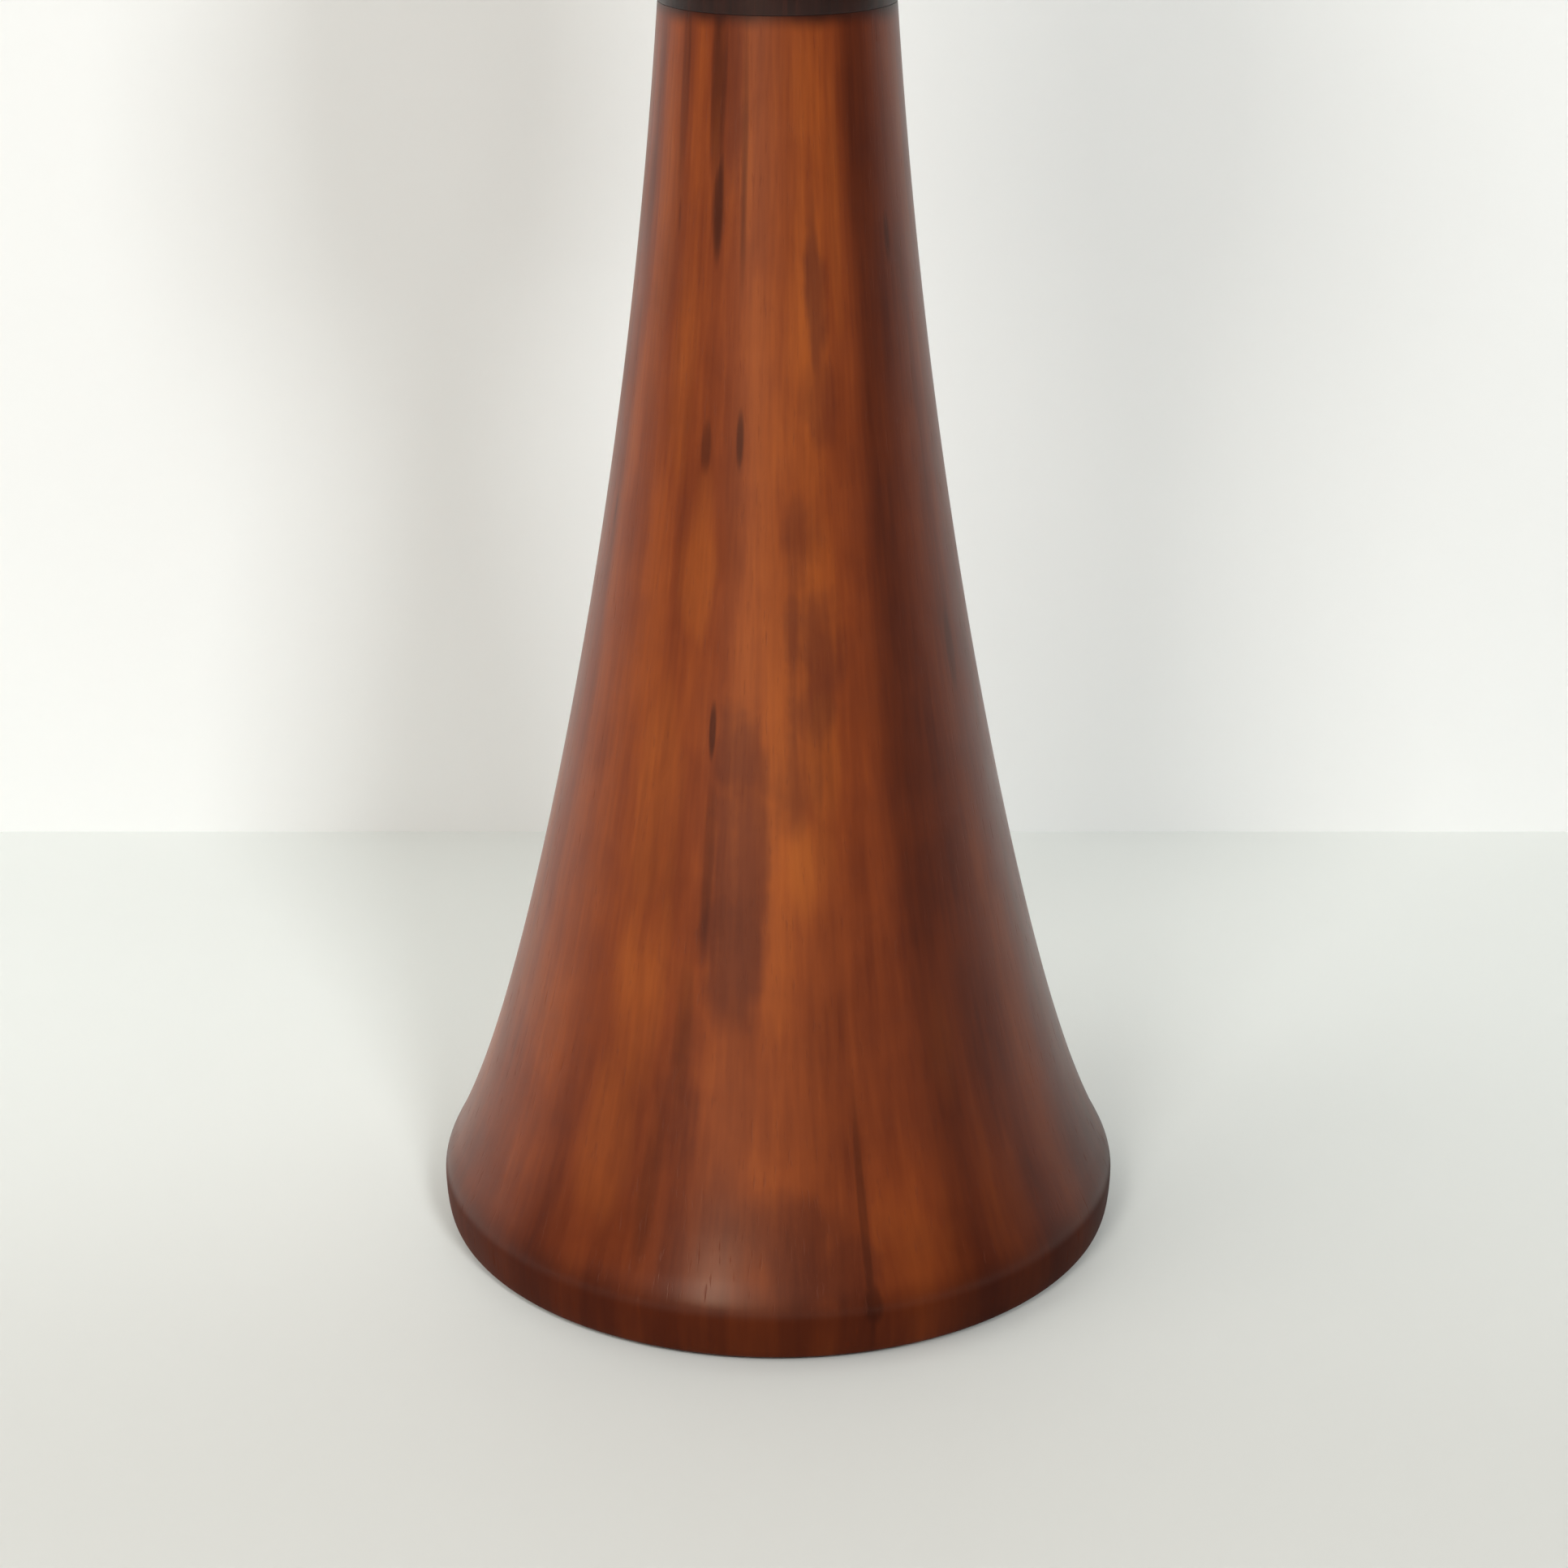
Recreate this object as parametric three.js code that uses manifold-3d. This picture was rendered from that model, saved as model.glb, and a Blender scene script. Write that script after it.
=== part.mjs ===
// Dip pen holder: a turned cherry desk stand whose head turns and holds six dip pens upright.
// Millimetres, +Z up. The origin is the centre of the face that the stand rests on.
//
// From the table up: a baize pad under a bell-shaped pedestal, with an iron ballast ring screwed into the
// foot; a black collar on the neck; a bulb-shaped head that turns on a steel spindle and has six brass-lined
// sockets in its crown; and a black finial that keeps the head on and is the knob to carry the stand by.

import * as THREE from 'three';
import { mergeVertices } from 'three/addons/utils/BufferGeometryUtils.js';
import Module from 'manifold-3d';

const wasm = await Module();
wasm.setup();

// ---------------------------------------------------------------- driving dimensions

const FOOT_RADIUS = 35; // the widest part of the pedestal
const FOOT_CONTACT_RADIUS = 34.45; // where the foot's edge curves in to the table
const FOOT_EDGE_HEIGHT = 4.3; // height of the widest circle
const WOOD_LIFT = 0.5; // the pad holds the wood this far off the table
const NECK_HEIGHT = 123.8; // shoulder that the collar sits on
const NECK_RADIUS = 11.05;

// The flank leans out by FLANK_LEAN at the table and stands upright at FLANK_UPRIGHT. Near the foot it
// kicks out by a further FOOT_KICK, which dies away over FOOT_KICK_HEIGHT.
const FLANK_LEAN = 0.298;
const FLANK_UPRIGHT = 166;
const FOOT_KICK = 0.287;
const FOOT_KICK_HEIGHT = 9;
const FOOT_ARRIS = 1.4; // height of the eased corner between the foot's edge and the flank

const PAD_RADIUS = 31;
const PAD_THICKNESS = 1.5;
const BALLAST_RADIUS = 24;
const BALLAST_HOLE_RADIUS = 7.5;
const BALLAST_THICKNESS = 8.3;
const SCREWS = 3;
const SCREW_CIRCLE = 16;
const SCREW_LENGTH = 17;
const SCREW_SHANK_RADIUS = 1.8;
const SCREW_HEAD_RADIUS = 3.8;
const SCREW_HEAD_HEIGHT = 2.2;

const COLLAR_HEIGHT = 3.6;
const COLLAR_ROUNDING = 0.9;
const TENON_RADIUS = 7.5; // the pedestal's spigot that the collar is glued round
const WASHER_THICKNESS = 0.8;
const THRUST_WASHER_RADIUS = 9.35;
const CROWN_WASHER_RADIUS = 4.7;
const RUNNING_GAP = 0.1; // play above and below the turning head
const FIT_GAP = 0.1; // radial gap between a piece and the bore it sits in

const HEAD_HEIGHT = 48.7;
const HEAD_RADIUS = 21.2;
const HEAD_WIDEST = 0.57; // share of the head's height at which it is widest
const HEAD_FOOT_RADIUS = 10.9; // flat underside that faces the collar
const CROWN_RADIUS = 16.8; // flat top that the sockets open in
const SOCKETS = 6;
const SOCKET_CIRCLE = 11;
const SOCKET_RADIUS = 4.3;
const SOCKET_DEPTH = 32;
const FERRULE_WALL = 0.5;
const FERRULE_LENGTH = 14;
const FERRULE_LIP = 0.7;
const CUSHION_THICKNESS = 1.5; // baize at the bottom of each socket

const SPINDLE_RADIUS = 2;
const NECK_NUT_RADIUS = 5;
const NECK_NUT_HEIGHT = 4.5;
const BASE_NUT_ACROSS_FLATS = 7;
const BASE_NUT_HEIGHT = 3.2;
const BASE_WASHER_RADIUS = 7;
const BUSH_RADIUS = 3.2;
const BUSH_LENGTH = 11;
const BUSH_FLANGE_RADIUS = 5.2;
const BUSH_FLANGE = 0.8;

const FINIAL_HEIGHT = 17.6;
const FINIAL_RADIUS = 6.2;
const FINIAL_BASE_RADIUS = 5;
const FINIAL_WAIST_RADIUS = 4.4;
const FINIAL_WAIST_HEIGHT = 2.8;
const INSERT_RADIUS = 2.9;
const INSERT_LENGTH = 8.5;

// ---------------------------------------------------------------- heights that follow from them

const BALLAST_BOTTOM = PAD_THICKNESS + 0.2;
const BALLAST_TOP = BALLAST_BOTTOM + BALLAST_THICKNESS;
const SCREW_BOTTOM = BALLAST_BOTTOM + 0.2;
const SCREW_TIP = SCREW_BOTTOM + SCREW_LENGTH;
const NUT_CEILING = BALLAST_TOP + 7;
const BASE_WASHER_BOTTOM = NUT_CEILING - WASHER_THICKNESS;
const COLLAR_TOP = NECK_HEIGHT + COLLAR_HEIGHT;
const TENON_TOP = COLLAR_TOP - 0.4;
const THRUST_TOP = COLLAR_TOP + WASHER_THICKNESS;
const HEAD_BOTTOM = THRUST_TOP + RUNNING_GAP;
const CROWN = HEAD_BOTTOM + HEAD_HEIGHT;
const SOCKET_BOTTOM = CROWN - SOCKET_DEPTH;
const FINIAL_BOTTOM = CROWN + RUNNING_GAP + WASHER_THICKNESS;
const SPINDLE_BOTTOM = BALLAST_TOP + 0.8;
const SPINDLE_TOP = FINIAL_BOTTOM + 8;

// ---------------------------------------------------------------- materials

function material(color, roughness, metalness) {
  return new THREE.MeshStandardMaterial({ color, roughness, metalness });
}

const cherry = material(0x8a4a24, 0.35, 0);
const blackWood = material(0x22120c, 0.4, 0);
const brass = material(0xb08d45, 0.3, 1);
const steel = material(0x9a9a98, 0.35, 1);
const iron = material(0x3a3a3c, 0.6, 1);
const baize = material(0x2e4a36, 0.95, 0);

// ---------------------------------------------------------------- shaping helpers

const holder = new THREE.Group();

// Adds one named piece to the holder, or to a group in it.
function add(name, geometry, look, group = holder) {
  const mesh = new THREE.Mesh(geometry, look);
  mesh.name = name;
  group.add(mesh);
  return mesh;
}

// A solid turned about Z from [radius, height] points listed anticlockwise: out along the bottom, up the
// outside and in over the top. A profile that doesn't start and end on the axis is closed down its bore.
function turned(profile, segments = 32) {
  const points = profile.map(([radius, height]) => new THREE.Vector2(radius, height));
  const first = points[0];
  const last = points[points.length - 1];
  if (first.x > 0 || last.x > 0) points.push(first.clone());
  return new THREE.LatheGeometry(points, segments).rotateX(Math.PI / 2);
}

// Points along an arc of an ellipse in the profile plane, angles in degrees from the +radius direction.
function arc(centre, radii, from, to, steps) {
  return Array.from({ length: steps + 1 }, (_, i) => {
    const angle = THREE.MathUtils.degToRad(from + ((to - from) * i) / steps);
    return [centre[0] + radii[0] * Math.cos(angle), centre[1] + radii[1] * Math.sin(angle)];
  });
}

// Points along a cubic curve in the profile plane.
function bezier(start, control1, control2, end, steps) {
  const vectors = [start, control1, control2, end].map(([x, y]) => new THREE.Vector2(x, y));
  return new THREE.CubicBezierCurve(...vectors).getPoints(steps).map((p) => [p.x, p.y]);
}

// A ring of constant thickness, or a disc if the inner radius is 0.
function ring(inner, outer, bottom, top, segments) {
  return turned([[inner, bottom], [outer, bottom], [outer, top], [inner, top]], segments);
}

function toSolid(geometry) {
  const bare = geometry.clone();
  bare.deleteAttribute('normal');
  bare.deleteAttribute('uv');
  const merged = mergeVertices(bare, 1e-4);
  return new wasm.Manifold(new wasm.Mesh({
    numProp: 3,
    vertProperties: merged.getAttribute('position').array,
    triVerts: new Uint32Array(merged.getIndex().array),
  }));
}

function toGeometry(solid) {
  const mesh = solid.getMesh();
  const geometry = new THREE.BufferGeometry();
  geometry.setAttribute('position', new THREE.BufferAttribute(mesh.vertProperties, 3));
  geometry.setIndex(new THREE.BufferAttribute(mesh.triVerts, 1));
  return geometry;
}

// The geometry with each of the cutters taken out of it.
function cut(geometry, cutters) {
  return toGeometry(cutters.reduce((solid, cutter) => solid.subtract(toSolid(cutter)), toSolid(geometry)));
}

// Calls make(x, y, index) at equal steps round a circle.
function around(count, radius, startAngle, make) {
  return Array.from({ length: count }, (_, i) => {
    const angle = startAngle + (2 * Math.PI * i) / count;
    return make(radius * Math.cos(angle), radius * Math.sin(angle), i);
  });
}

// ---------------------------------------------------------------- pedestal

// Outer radius of the pedestal between the foot's edge and the neck.
function flankRadius(height) {
  const reach = (z) =>
    FLANK_LEAN * (z - (z * z) / (2 * FLANK_UPRIGHT)) -
    FOOT_KICK * FOOT_KICK_HEIGHT * Math.exp(-(z - FOOT_EDGE_HEIGHT) / FOOT_KICK_HEIGHT);
  return NECK_RADIUS + reach(NECK_HEIGHT) - reach(height);
}

// Points up the flank, closer together near the foot, where it curves most.
function flankPoints(steps) {
  const start = FOOT_EDGE_HEIGHT + FOOT_ARRIS;
  const crowding = 1.7;
  return Array.from({ length: steps + 1 }, (_, i) => {
    const height = start + (NECK_HEIGHT - start) * (i / steps) ** crowding;
    return [flankRadius(height), height];
  });
}

// Cylinders standing on the ballast screws' circle, for the holes that the screws go through.
function screwHoles(radius, bottom, top) {
  return around(SCREWS, SCREW_CIRCLE, Math.PI / 2, (x, y) =>
    ring(0, radius, bottom, top, 16).translate(x, y, 0));
}

function pedestal() {
  const bore = SPINDLE_RADIUS + 0.5;
  const nutWell = BALLAST_HOLE_RADIUS + 0.5;
  const recess = BALLAST_RADIUS + 0.5;
  const padRecess = PAD_RADIUS + 0.4;
  const nutRecess = NECK_NUT_RADIUS + FIT_GAP;
  const edge = arc(
    [FOOT_CONTACT_RADIUS, FOOT_EDGE_HEIGHT],
    [FOOT_RADIUS - FOOT_CONTACT_RADIUS, FOOT_EDGE_HEIGHT - WOOD_LIFT],
    -90, 0, 4,
  );
  const profile = [
    [bore, NUT_CEILING],
    [nutWell, NUT_CEILING],
    [nutWell, BALLAST_TOP],
    [recess, BALLAST_TOP],
    [recess, PAD_THICKNESS],
    [padRecess, PAD_THICKNESS],
    [padRecess, WOOD_LIFT],
    ...edge,
    ...flankPoints(14),
    [TENON_RADIUS, NECK_HEIGHT],
    [TENON_RADIUS, TENON_TOP],
    [nutRecess, TENON_TOP],
    [nutRecess, TENON_TOP - NECK_NUT_HEIGHT],
    [bore, TENON_TOP - NECK_NUT_HEIGHT],
  ];
  const pilots = screwHoles(SCREW_SHANK_RADIUS + FIT_GAP, BALLAST_TOP - 1, SCREW_TIP + 0.5);
  return cut(turned(profile, 56), pilots);
}

add('pedestal', pedestal(), cherry);

// ---------------------------------------------------------------- foot: pad, ballast and its screws

add('foot_pad', ring(0, PAD_RADIUS, 0, PAD_THICKNESS, 48), baize);

function ballast() {
  const bevel = 1;
  const profile = [
    [BALLAST_HOLE_RADIUS, BALLAST_BOTTOM],
    [BALLAST_RADIUS - bevel, BALLAST_BOTTOM],
    [BALLAST_RADIUS, BALLAST_BOTTOM + bevel],
    [BALLAST_RADIUS, BALLAST_TOP],
    [BALLAST_HOLE_RADIUS, BALLAST_TOP],
  ];
  const shanks = screwHoles(SCREW_SHANK_RADIUS + 0.3, 0, BALLAST_TOP + 1);
  const seat = SCREW_HEAD_RADIUS + 0.4;
  const countersinks = around(SCREWS, SCREW_CIRCLE, Math.PI / 2, (x, y) =>
    turned([[0, 0], [seat, 0], [seat, SCREW_BOTTOM], [0, SCREW_BOTTOM + seat]], 16).translate(x, y, 0));
  return cut(turned(profile, 40), [...shanks, ...countersinks]);
}

add('ballast_ring', ballast(), iron);

// A countersunk wood screw, head down.
function woodScrew() {
  const headTop = SCREW_BOTTOM + SCREW_HEAD_HEIGHT;
  return turned([
    [0, SCREW_BOTTOM],
    [SCREW_HEAD_RADIUS, SCREW_BOTTOM],
    [SCREW_SHANK_RADIUS, headTop],
    [SCREW_SHANK_RADIUS, SCREW_TIP - 4],
    [0, SCREW_TIP],
  ], 16);
}

around(SCREWS, SCREW_CIRCLE, Math.PI / 2, (x, y, i) =>
  add(`ballast_screw_${i + 1}`, woodScrew(), steel).position.set(x, y, 0));

// ---------------------------------------------------------------- spindle and what clamps it

function spindle() {
  const chamfer = 0.5;
  return turned([
    [0, SPINDLE_BOTTOM],
    [SPINDLE_RADIUS - chamfer, SPINDLE_BOTTOM],
    [SPINDLE_RADIUS, SPINDLE_BOTTOM + chamfer],
    [SPINDLE_RADIUS, SPINDLE_TOP - chamfer],
    [SPINDLE_RADIUS - chamfer, SPINDLE_TOP],
    [0, SPINDLE_TOP],
  ], 24);
}

function hexNut(acrossFlats, holeRadius, height) {
  const corner = acrossFlats / Math.sqrt(3);
  const outline = new THREE.Shape(around(6, corner, 0, (x, y) => new THREE.Vector2(x, y)));
  outline.holes.push(new THREE.Path().absarc(0, 0, holeRadius, 0, 2 * Math.PI, true));
  return new THREE.ExtrudeGeometry(outline, { depth: height, bevelEnabled: false, curveSegments: 24 });
}

const washerHole = SPINDLE_RADIUS + 0.2;
const nutHole = SPINDLE_RADIUS + FIT_GAP;

add('spindle', spindle(), steel);
add('base_washer', ring(washerHole, BASE_WASHER_RADIUS, BASE_WASHER_BOTTOM, NUT_CEILING, 24), steel);
add('base_nut', hexNut(BASE_NUT_ACROSS_FLATS, nutHole, BASE_NUT_HEIGHT), steel)
  .position.setZ(BASE_WASHER_BOTTOM - BASE_NUT_HEIGHT);
add('neck_nut', ring(nutHole, NECK_NUT_RADIUS, TENON_TOP - NECK_NUT_HEIGHT, TENON_TOP, 24), brass);

// ---------------------------------------------------------------- collar and thrust washer

function collar() {
  const hole = TENON_RADIUS + FIT_GAP;
  const roundingCentre = [NECK_RADIUS - COLLAR_ROUNDING, COLLAR_TOP - COLLAR_ROUNDING];
  return turned([
    [hole, NECK_HEIGHT],
    [NECK_RADIUS, NECK_HEIGHT],
    ...arc(roundingCentre, [COLLAR_ROUNDING, COLLAR_ROUNDING], 0, 90, 4),
    [hole, COLLAR_TOP],
  ], 48);
}

add('collar', collar(), blackWood);
add('thrust_washer', ring(washerHole, THRUST_WASHER_RADIUS, COLLAR_TOP, THRUST_TOP, 32), brass);

// ---------------------------------------------------------------- head, which turns

const head = new THREE.Group();
holder.add(head);

function headBlank() {
  const bore = BUSH_RADIUS + FIT_GAP;
  const flange = BUSH_FLANGE_RADIUS + FIT_GAP;
  const lip = [HEAD_FOOT_RADIUS + 0.7, HEAD_BOTTOM + 0.5];
  const widest = [HEAD_RADIUS, HEAD_BOTTOM + HEAD_WIDEST * HEAD_HEIGHT];
  const brim = [HEAD_RADIUS - 1.6, CROWN - 3.5];
  const bowl = bezier(lip, [16, lip[1] + 1.2], [HEAD_RADIUS, widest[1] - 15], widest, 9);
  const shoulder = bezier(widest, [HEAD_RADIUS, widest[1] + 7], [20.8, brim[1] - 6], brim, 5);
  const rounding = bezier(brim, [19.1, CROWN - 1.2], [18.2, CROWN], [CROWN_RADIUS, CROWN], 4);
  return turned([
    [bore, HEAD_BOTTOM + BUSH_FLANGE],
    [flange, HEAD_BOTTOM + BUSH_FLANGE],
    [flange, HEAD_BOTTOM],
    [HEAD_FOOT_RADIUS, HEAD_BOTTOM],
    ...bowl,
    ...shoulder.slice(1),
    ...rounding.slice(1),
    [flange, CROWN],
    [flange, CROWN - BUSH_FLANGE],
    [bore, CROWN - BUSH_FLANGE],
  ], 48);
}

// The stepped hole that a ferrule and, below it, a pen's tail go into.
function socketCutter(x, y) {
  const seat = SOCKET_RADIUS + FERRULE_WALL + FIT_GAP;
  const step = CROWN - FERRULE_LENGTH;
  const above = CROWN + 1;
  const profile = [
    [0, SOCKET_BOTTOM],
    [SOCKET_RADIUS, SOCKET_BOTTOM],
    [SOCKET_RADIUS, step],
    [seat, step],
    [seat, above],
    [0, above],
  ];
  return turned(profile, 24).translate(x, y, 0);
}

function ferrule() {
  const outer = SOCKET_RADIUS + FERRULE_WALL;
  const lip = outer + 0.5;
  return turned([
    [SOCKET_RADIUS, CROWN - FERRULE_LENGTH],
    [outer, CROWN - FERRULE_LENGTH],
    [outer, CROWN],
    [lip, CROWN],
    [lip, CROWN + 0.3 * FERRULE_LIP],
    [lip - 0.3, CROWN + FERRULE_LIP],
    [SOCKET_RADIUS + 0.2, CROWN + FERRULE_LIP],
    [SOCKET_RADIUS, CROWN + 0.5 * FERRULE_LIP],
  ], 24);
}

function socketCushion() {
  return ring(0, SOCKET_RADIUS - FIT_GAP, SOCKET_BOTTOM, SOCKET_BOTTOM + CUSHION_THICKNESS, 20);
}

// A flanged sleeve bush whose flange is at the height given, with its barrel above or below it.
function bush(flangeFace, upwards) {
  const sign = upwards ? 1 : -1;
  const hole = SPINDLE_RADIUS + FIT_GAP;
  const flangeBack = flangeFace + sign * BUSH_FLANGE;
  const end = flangeFace + sign * BUSH_LENGTH;
  const profile = [
    [hole, flangeFace],
    [BUSH_FLANGE_RADIUS, flangeFace],
    [BUSH_FLANGE_RADIUS, flangeBack],
    [BUSH_RADIUS, flangeBack],
    [BUSH_RADIUS, end],
    [hole, end],
  ];
  return turned(upwards ? profile : profile.reverse(), 24);
}

add('head', cut(headBlank(), around(SOCKETS, SOCKET_CIRCLE, 0, socketCutter)), cherry, head);
add('lower_bush', bush(HEAD_BOTTOM, true), brass, head);
add('upper_bush', bush(CROWN, false), brass, head);
around(SOCKETS, SOCKET_CIRCLE, 0, (x, y, i) => {
  add(`socket_ferrule_${i + 1}`, ferrule(), brass, head).position.set(x, y, 0);
  add(`socket_cushion_${i + 1}`, socketCushion(), baize, head).position.set(x, y, 0);
});

// ---------------------------------------------------------------- finial, which keeps the head on

function finial() {
  const hole = INSERT_RADIUS + FIT_GAP;
  const holeTop = FINIAL_BOTTOM + INSERT_LENGTH + 0.5;
  const top = FINIAL_BOTTOM + FINIAL_HEIGHT;
  const waist = FINIAL_BOTTOM + FINIAL_WAIST_HEIGHT;
  const belly = top - FINIAL_RADIUS;
  const flare = bezier(
    [FINIAL_WAIST_RADIUS, waist],
    [FINIAL_WAIST_RADIUS, waist + 2],
    [FINIAL_RADIUS, belly - 4],
    [FINIAL_RADIUS, belly],
    6,
  );
  return turned([
    [0, holeTop],
    [hole, holeTop],
    [hole, FINIAL_BOTTOM],
    [FINIAL_BASE_RADIUS - 0.3, FINIAL_BOTTOM],
    [FINIAL_BASE_RADIUS, FINIAL_BOTTOM + 0.4],
    [FINIAL_BASE_RADIUS, FINIAL_BOTTOM + 1.2],
    ...flare,
    ...arc([0, belly], [FINIAL_RADIUS, FINIAL_RADIUS], 0, 90, 6).slice(1, -1),
    [0, top],
  ], 28);
}

const crownWasher = ring(washerHole, CROWN_WASHER_RADIUS, CROWN + RUNNING_GAP, FINIAL_BOTTOM, 24);
const finialInsert = ring(nutHole, INSERT_RADIUS, FINIAL_BOTTOM, FINIAL_BOTTOM + INSERT_LENGTH, 24);

add('crown_washer', crownWasher, brass);
add('finial_insert', finialInsert, brass);
add('finial', finial(), blackWood);

export default holder;
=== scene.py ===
"""Looks of the dip pen holder: a turned cherry pedestal, a dark collar, a revolving pen head and a finial.

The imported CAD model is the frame. The turned pieces that show are made again here as fine lathe work, each
standing for its CAD node, and the pieces inside keep their CAD meshes with a better material.

Metres, +Z up; the user faces the -Y side. Angles round the stand are measured from that side, positive to
the right.
"""

import math

import bmesh
import bpy
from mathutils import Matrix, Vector


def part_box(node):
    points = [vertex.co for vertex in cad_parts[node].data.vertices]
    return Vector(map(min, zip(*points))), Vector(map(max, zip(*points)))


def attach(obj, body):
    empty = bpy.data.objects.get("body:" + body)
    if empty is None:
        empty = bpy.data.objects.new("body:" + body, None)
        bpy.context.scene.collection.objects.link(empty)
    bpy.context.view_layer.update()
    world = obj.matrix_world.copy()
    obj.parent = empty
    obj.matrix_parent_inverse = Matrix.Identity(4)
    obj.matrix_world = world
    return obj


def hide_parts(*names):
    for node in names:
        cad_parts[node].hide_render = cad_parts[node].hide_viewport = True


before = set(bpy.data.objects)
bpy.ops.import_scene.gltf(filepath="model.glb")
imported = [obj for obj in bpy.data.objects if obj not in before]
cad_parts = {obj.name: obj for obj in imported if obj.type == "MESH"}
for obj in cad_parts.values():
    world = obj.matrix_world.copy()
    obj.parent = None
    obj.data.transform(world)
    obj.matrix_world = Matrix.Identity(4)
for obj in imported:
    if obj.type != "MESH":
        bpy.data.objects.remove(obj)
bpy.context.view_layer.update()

MM = 0.001
SOCKETS = 6
SCREWS = 3
FIT_GAP = 0.1 * MM  # between a piece and the hole that it sits in
FELT_EASE = 0.3 * MM  # rounding of a felt disc's edges
CREASE = 32  # degrees: a sharper edge than this is drawn as an edge


# ------------------------------------------------------------------ sizes read from the frame

def half_width(node):
    low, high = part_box(node)
    return (high.x - low.x) / 2


def bottom(node):
    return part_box(node)[0].z


def top(node):
    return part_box(node)[1].z


def centre(node):
    low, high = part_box(node)
    return (low.x + high.x) / 2, (low.y + high.y) / 2


WOOD_BOTTOM = bottom("pedestal")
NECK_HEIGHT = bottom("collar")
COLLAR_TOP = top("collar")
TENON_TOP = top("pedestal")
HEAD_BOTTOM = bottom("head")
CROWN = top("head")
FINIAL_BOTTOM = bottom("finial")
FINIAL_TOP = top("finial")
SOCKET_BOTTOM = bottom("socket_cushion_1")
FERRULE_BOTTOM = bottom("socket_ferrule_1")
FERRULE_TOP = top("socket_ferrule_1")
PAD_TOP = top("foot_pad")

FOOT_RADIUS = half_width("pedestal")
NECK_RADIUS = half_width("collar")
HEAD_RADIUS = half_width("head")
PAD_RADIUS = half_width("foot_pad")
BALLAST_RADIUS = half_width("ballast_ring")
FINIAL_RADIUS = half_width("finial")
FERRULE_LIP_RADIUS = half_width("socket_ferrule_1")
CUSHION_RADIUS = half_width("socket_cushion_1")
SOCKET_RADIUS = CUSHION_RADIUS + FIT_GAP
BUSH_FLANGE_RADIUS = half_width("upper_bush")

# The pedestal's outline, the same as in the CAD model.
FOOT_EDGE_HEIGHT = 4.3 * MM  # height of the widest circle
FOOT_CONTACT_RADIUS = 34.45 * MM  # where the foot's edge curves in to the table
FLANK_LEAN = 0.298  # how far the flank leans out at the table, as a slope
FLANK_UPRIGHT = 166 * MM  # the height at which it would stand upright
FOOT_KICK = 0.287  # extra slope at the foot
FOOT_KICK_HEIGHT = 9 * MM  # and the height over which it dies away


# ------------------------------------------------------------------ camera, floor, wall and lights

CAMERA_PLACE = (0.6 * MM, -296.7 * MM, 164.8 * MM)
CAMERA_PITCH = 21.8  # degrees below level
CAMERA_LENS = 72.67  # on a sensor 36 wide

STAGE_HALF_WIDTH = 3.0
WALL_DISTANCE = 98 * MM  # from the stand's axis
WALL_HEIGHT = 2.0
TABLE_SHADE_FADE = (-60.0, 75.0)  # millimetres towards the viewer, over which the table top darkens with painted shade

LIGHTS_FACE = Vector((0, 0, 80 * MM))  # the point that every light is turned to
ROOM_STRENGTH = 0.25
ROOM_LOW = (0.12, (0.10, 0.095, 0.09, 1))  # how far up the room is still dim, and its colour there
ROOM_HIGH = (0.65, (1.0, 1.0, 1.0, 1))  # how far up it is fully bright


def make_camera():
    camera = bpy.data.objects.new("camera", bpy.data.cameras.new("camera"))
    camera.data.sensor_width = 36
    camera.data.lens = CAMERA_LENS
    camera.data.clip_start = 0.01
    camera.data.clip_end = 20
    camera.location = CAMERA_PLACE
    camera.rotation_euler = (math.radians(90 - CAMERA_PITCH), 0, 0)
    bpy.context.scene.collection.objects.link(camera)
    bpy.context.scene.camera = camera


def sheet_object(name, corners, material):
    mesh = bpy.data.meshes.new(name)
    mesh.from_pydata(corners, [], [(0, 1, 2, 3)])
    mesh.materials.append(material)
    thing = bpy.data.objects.new(name, mesh)
    bpy.context.scene.collection.objects.link(thing)
    return thing


def make_stage():
    """A pale table top and a wall close behind the stand."""
    half = STAGE_HALF_WIDTH
    floor = sheet_object("floor", [(-half, -half, 0), (half, -half, 0), (half, half, 0), (-half, half, 0)],
                         # the second colour is painted shade that darkens the table top towards the viewer
                         plain_stage("table_top", srgb(235, 238, 234), srgb(211, 211, 206)))
    wall = sheet_object("wall", [(-half, WALL_DISTANCE, 0), (half, WALL_DISTANCE, 0),
                                 (half, WALL_DISTANCE, WALL_HEIGHT), (-half, WALL_DISTANCE, WALL_HEIGHT)],
                        plain_stage("wall_paint", srgb(243, 244, 242), one_sided=True))


def make_world():
    """A room that is bright overhead and dim at eye level."""
    world = bpy.data.worlds.new("room")
    world.use_nodes = True
    tree = world.node_tree
    direction = tree.nodes.new("ShaderNodeTexCoord").outputs["Generated"]
    split = tree.nodes.new("ShaderNodeSeparateXYZ")
    tree.links.new(direction, split.inputs[0])
    ramp = tree.nodes.new("ShaderNodeValToRGB")
    tree.links.new(split.outputs["Z"], ramp.inputs[0])
    for element, (place, colour) in zip(ramp.color_ramp.elements, (ROOM_LOW, ROOM_HIGH)):
        element.position = place
        element.color = colour
    background = tree.nodes["Background"]
    tree.links.new(ramp.outputs[0], background.inputs["Color"])
    background.inputs["Strength"].default_value = ROOM_STRENGTH
    bpy.context.scene.world = world


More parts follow.
